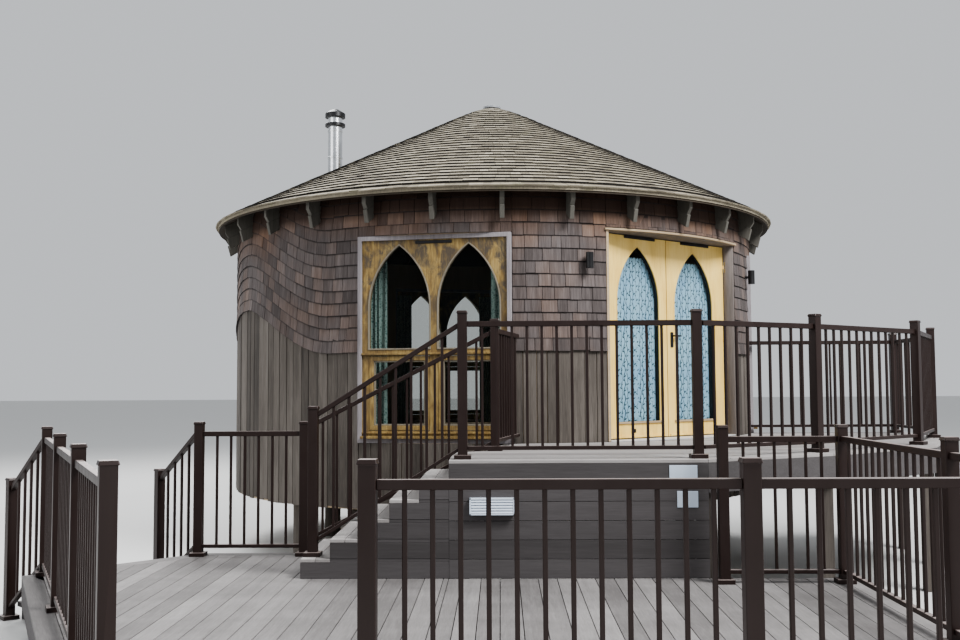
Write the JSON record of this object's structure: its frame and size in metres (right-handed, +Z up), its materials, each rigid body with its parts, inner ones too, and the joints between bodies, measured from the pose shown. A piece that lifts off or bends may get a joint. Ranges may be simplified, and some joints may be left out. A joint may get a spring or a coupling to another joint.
{
  "type": "tree house cabin",
  "caption": "Round timber tree house cabin on short stilts, with a conical shingle roof, pointed windows, glazed double doors and railed timber decks on two levels.",
  "frame": {"origin": "on the ground under the middle of the round cabin, at the foot of its middle post", "axes": "+Z up, -Y towards the front decks, +X to the right of someone facing the front"},
  "size_m": [9.0209, 12.9999, 5.6517],
  "materials": {
    "wall_timber": "weathered boards and shingles",
    "frame_timber": "sawn",
    "floor_boards": "satin oil",
    "roof_shingle": "weathered shingles",
    "trim_timber": "weathered stain",
    "honey_timber": "satin varnish",
    "deck_boards": "grey composite",
    "fascia_boards": "dark grey composite",
    "railing_metal": "satin bronze",
    "steel": "brushed",
    "flue_steel": "dull",
    "lamp_black": "matt black",
    "vent_white": "satin white",
    "glass": "clear",
    "curtain": "woven",
    "hinge_dark": "dark bronze",
    "cap_lead": "dull grey"
  },
  "bodies": {
    "root": {"back_right_wall": "wall_timber", "back_wall": "wall_timber", "cabin_posts": "frame_timber", "crown_ring": "frame_timber", "door_stops": "honey_timber", "door_surround": "trim_timber", "door_threshold": "steel", "eaves_blocks": "trim_timber", "floor": "floor_boards", "floor_bearers": "frame_timber", "floor_joists": "frame_timber", "flue": "flue_steel", "flue_flashing": "cap_lead", "front_cladding": "fascia_boards", "front_wall": "wall_timber", "garden_panels": "railing_metal", "garden_steps": "deck_boards", "hinge_pins": "hinge_dark", "left_back_wall": "wall_timber", "left_front_wall": "wall_timber", "lower_deck": "deck_boards", "lower_fascia": "fascia_boards", "lower_joists": "frame_timber", "lower_panels": "railing_metal", "lower_piers": "frame_timber", "lower_posts": "railing_metal", "lower_rims": "frame_timber", "rafters": "frame_timber", "right_wall": "wall_timber", "ring_beam": "trim_timber", "roof": "roof_shingle", "roof_cap": "cap_lead", "stair_panels": "railing_metal", "stair_risers": "fascia_boards", "stair_sides": "fascia_boards", "stair_treads": "deck_boards", "upper_deck": "deck_boards", "upper_fascia": "fascia_boards", "upper_joists": "frame_timber", "upper_panels": "railing_metal", "upper_piers": "frame_timber", "upper_posts": "railing_metal", "upper_rims": "frame_timber", "vent_box": "vent_white", "wall_infills": "wall_timber", "wall_lights": "lamp_black", "window_curtains": "curtain", "window_frames": "honey_timber", "window_glass": "glass", "window_surrounds": "trim_timber"},
    "door_left": {"door_leaf_left": "honey_timber", "door_glass_left": "glass", "door_curtain_left": "curtain"},
    "door_right": {"door_leaf_right": "honey_timber", "door_glass_right": "glass", "door_curtain_right": "curtain", "lever_plates": "steel"},
    "lever": {"door_lever": "steel"}
  },
  "joints": [
    {"name": "door_left_hinge", "type": "hinge", "parent": "root", "child": "door_left", "pos_m": [1.15683, -2.95368, 2.435], "axis": [0, 0, -1], "range_deg": [0, 90]},
    {"name": "door_right_hinge", "type": "hinge", "parent": "root", "child": "door_right", "pos_m": [2.66335, -1.667, 2.435], "axis": [0, 0, 1], "range_deg": [0, 90]},
    {"name": "lever_turn", "type": "hinge", "parent": "door_right", "child": "lever", "pos_m": [1.94355, -2.23403, 2.457], "axis": [-0.6494, 0.7604, 0], "range_deg": [0, 35], "stiffness_Nm_per_rad": 0.8, "springref_deg": -34.38}
  ]
}
